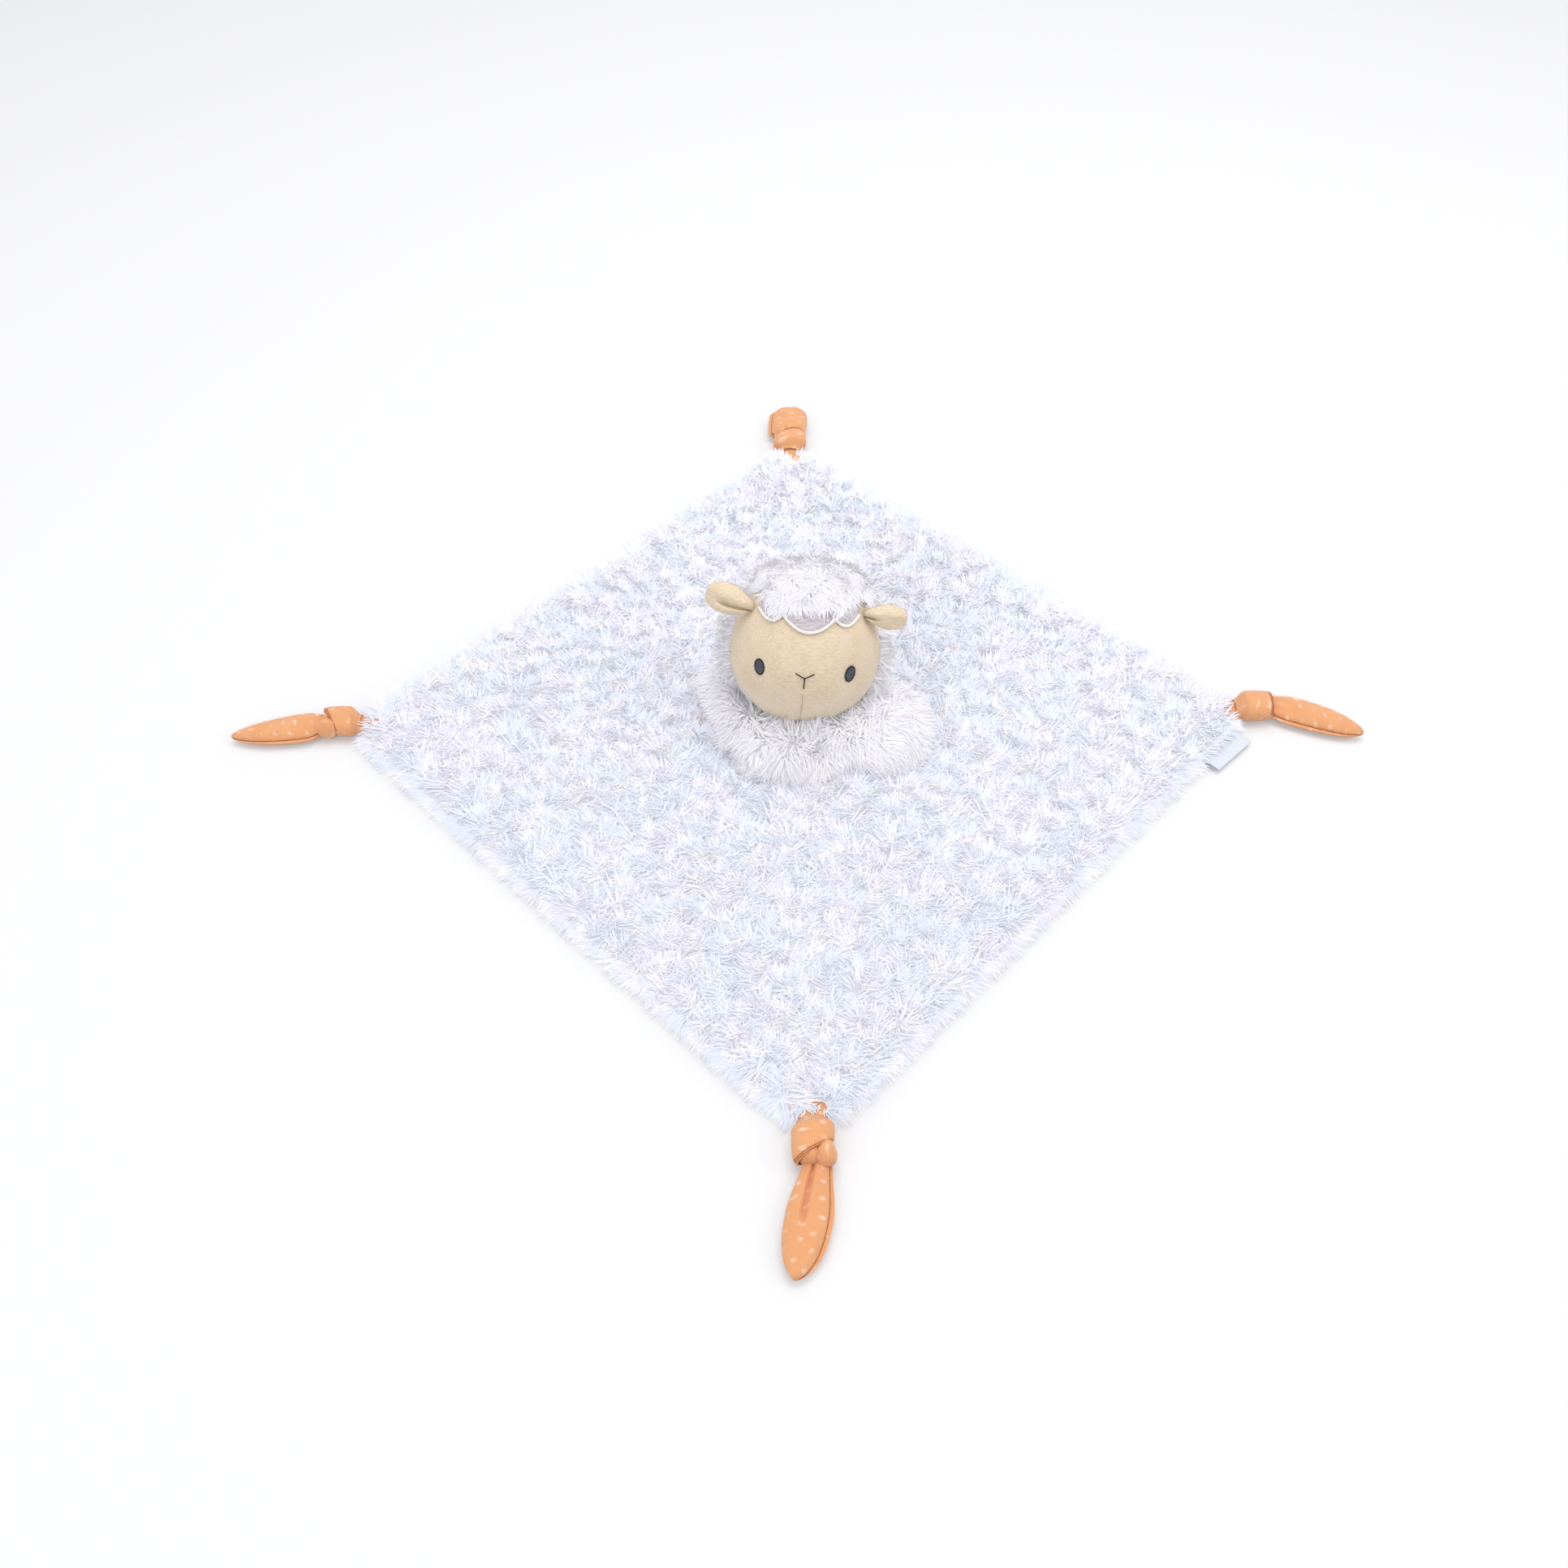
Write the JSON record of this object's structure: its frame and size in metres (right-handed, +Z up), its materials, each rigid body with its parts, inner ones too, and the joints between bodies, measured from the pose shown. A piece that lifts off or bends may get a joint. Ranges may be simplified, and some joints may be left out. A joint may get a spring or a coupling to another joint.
{
  "type": "comfort blanket lovey",
  "caption": "Flat square plush comfort blanket with a stuffed lamb's head sewn to its centre and a knotted jersey tie at every corner, made to be held, rubbed and cuddled.",
  "frame": {"origin": "centre of the blanket's underside, the face that it rests on", "axes": "+Z up out of the blanket towards the head, -Y the way the lamb looks, towards the front corner, +X towards the corner on the viewer's right; the square's diagonals lie along X and Y"},
  "size_m": [0.581, 0.5627, 0.0987],
  "materials": {
    "velour": "short brushed pile",
    "fibre": "loose fibre",
    "cream_plush": "fluffy soft pile",
    "interfacing": "matt non-woven",
    "lilac_velour": "short brushed pile",
    "satin_thread": "satin stitch",
    "dark_thread": "satin stitch",
    "grey_thread": "satin stitch",
    "jersey": "matt fine knit",
    "plush": "long soft pile",
    "sewing_thread": "twisted thread",
    "satin_ribbon": "woven satin"
  },
  "bodies": {
    "blanket": {"blanket_lining": "jersey", "blanket_top": "plush", "neck_patch": "interfacing", "collar": "cream_plush", "tie_stub_right": "jersey", "tie_stub_rear": "jersey", "tie_stub_left": "jersey", "tie_stub_front": "jersey"},
    "neck": {"neck_stem": "cream_plush", "neck_thread": "sewing_thread"},
    "head": {"head_stuffing": "fibre", "face_panel": "velour", "head_back_panel": "cream_plush", "head_base_disc": "interfacing", "hair_cap": "cream_plush", "hairline_applique": "lilac_velour", "scallop_trim": "satin_thread", "eye_left_outline": "dark_thread", "eye_left_fill": "grey_thread", "eye_right_outline": "dark_thread", "eye_right_fill": "grey_thread", "nose_stitch": "dark_thread", "chin_seam": "velour"},
    "ear_left": {"ear_left_front": "velour", "ear_left_back": "velour", "ear_left_filling": "fibre"},
    "ear_right": {"ear_right_front": "velour", "ear_right_back": "velour", "ear_right_filling": "fibre"},
    "knot_right": {"knot_right": "jersey"},
    "tail_right": {"tail_upper_right": "jersey", "tail_lower_right": "jersey"},
    "knot_rear": {"knot_rear": "jersey"},
    "tail_rear": {"tail_upper_rear": "jersey", "tail_lower_rear": "jersey"},
    "knot_left": {"knot_left": "jersey"},
    "tail_left": {"tail_upper_left": "jersey", "tail_lower_left": "jersey"},
    "knot_front": {"knot_front": "jersey"},
    "tail_front": {"tail_upper_front": "jersey", "tail_lower_front": "jersey"},
    "label": {"label": "satin_ribbon"}
  },
  "joints": [
    {"name": "head_turn", "type": "hinge", "parent": "blanket", "child": "neck", "pos_m": [0, 0, 0.012], "axis": [0, 0, 1], "range_deg": [-20, 20], "stiffness_Nm_per_rad": 0.06},
    {"name": "head_nod", "type": "hinge", "parent": "neck", "child": "head", "pos_m": [0, 0, 0.012], "axis": [1, 0, 0], "range_deg": [-8, 8], "stiffness_Nm_per_rad": 0.12, "springref_deg": 1.49},
    {"name": "ear_left_flop", "type": "hinge", "parent": "head", "child": "ear_left", "pos_m": [-0.02585, 0.00599, 0.07697], "axis": [0, 0.788, -0.6157], "range_deg": [-30, 20], "stiffness_Nm_per_rad": 0.004},
    {"name": "ear_right_flop", "type": "hinge", "parent": "head", "child": "ear_right", "pos_m": [0.03576, 0.00234, 0.0723], "axis": [0, -0.788, 0.6157], "range_deg": [-30, 20], "stiffness_Nm_per_rad": 0.004},
    {"name": "knot_right_swing", "type": "hinge", "parent": "blanket", "child": "knot_right", "pos_m": [0.22834, 0, 0.004], "axis": [0, 0, 1], "range_deg": [-30, 30]},
    {"name": "knot_rear_swing", "type": "hinge", "parent": "blanket", "child": "knot_rear", "pos_m": [0, 0.22834, 0.004], "axis": [0, 0, 1], "range_deg": [-30, 30]},
    {"name": "knot_left_swing", "type": "hinge", "parent": "blanket", "child": "knot_left", "pos_m": [-0.22834, 0, 0.004], "axis": [0, 0, 1], "range_deg": [-30, 30]},
    {"name": "knot_front_swing", "type": "hinge", "parent": "blanket", "child": "knot_front", "pos_m": [0, -0.22834, 0.004], "axis": [0, 0, 1], "range_deg": [-30, 30]},
    {"name": "tail_right_lift", "type": "hinge", "parent": "knot_right", "child": "tail_right", "pos_m": [0.25034, 0, 0.0043], "axis": [-0.4384, -0.8988, 0], "range_deg": [0, 85]},
    {"name": "tail_rear_lift", "type": "hinge", "parent": "knot_rear", "child": "tail_rear", "pos_m": [0, 0.25184, 0.0058], "axis": [0.9976, -0.0698, 0], "range_deg": [0, 85]},
    {"name": "tail_left_lift", "type": "hinge", "parent": "knot_left", "child": "tail_left", "pos_m": [-0.25034, 0, 0.0043], "axis": [-0.1736, 0.9848, 0], "range_deg": [0, 85]},
    {"name": "tail_front_lift", "type": "hinge", "parent": "knot_front", "child": "tail_front", "pos_m": [0, -0.25034, 0.0043], "axis": [-0.9781, 0.2079, 0], "range_deg": [0, 85]},
    {"name": "label_flip", "type": "hinge", "parent": "blanket", "child": "label", "pos_m": [0.21269, -0.02318, 0.0024], "axis": [-0.7431, -0.6691, 0], "range_deg": [0, 80]}
  ]
}
